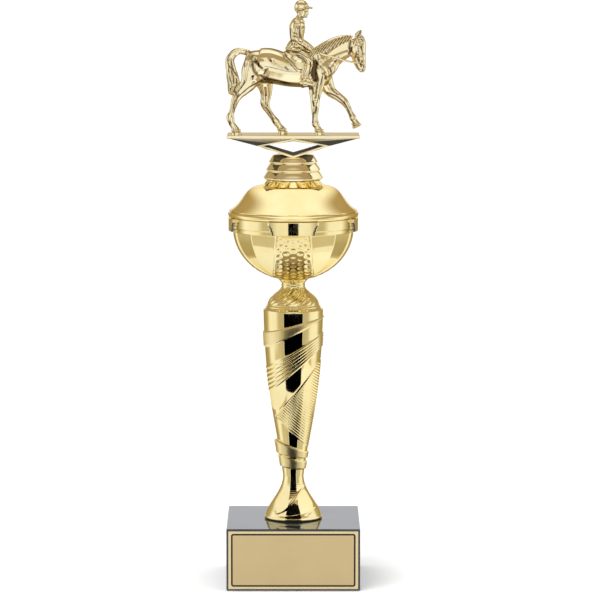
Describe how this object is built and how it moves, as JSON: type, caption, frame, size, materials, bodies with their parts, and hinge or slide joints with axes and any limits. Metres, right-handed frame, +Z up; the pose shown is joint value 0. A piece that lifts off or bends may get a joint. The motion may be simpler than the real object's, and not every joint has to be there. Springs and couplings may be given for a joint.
{
  "type": "horse and rider trophy",
  "caption": "Gold horse-and-rider figure on an openwork bracket above a domed, lidded bowl, a tapering column with slanting bands and a dark stone block with a bare plate.",
  "frame": {"origin": "centre of the stone block's underside", "axes": "+Z up along the trophy's axis; +X the way the horse faces; -Y the front, with the engraving plate"},
  "size_m": [0.0952, 0.0909, 0.3951],
  "materials": {
    "pale_gold": "mirror-bright pale gold plating on moulded plastic",
    "yellow_gold": "mirror-bright yellow gold plating on moulded plastic",
    "dark_stone": "polished",
    "satin_gold_sheet": "satin gold sheet with a printed black border line"
  },
  "bodies": {
    "root": {"horse_and_rider": "pale_gold", "domed_lid": "yellow_gold", "bowl": "yellow_gold", "spiral_column": "yellow_gold", "stone_block": "dark_stone", "engraving_plate": "satin_gold_sheet"}
  },
  "joints": []
}
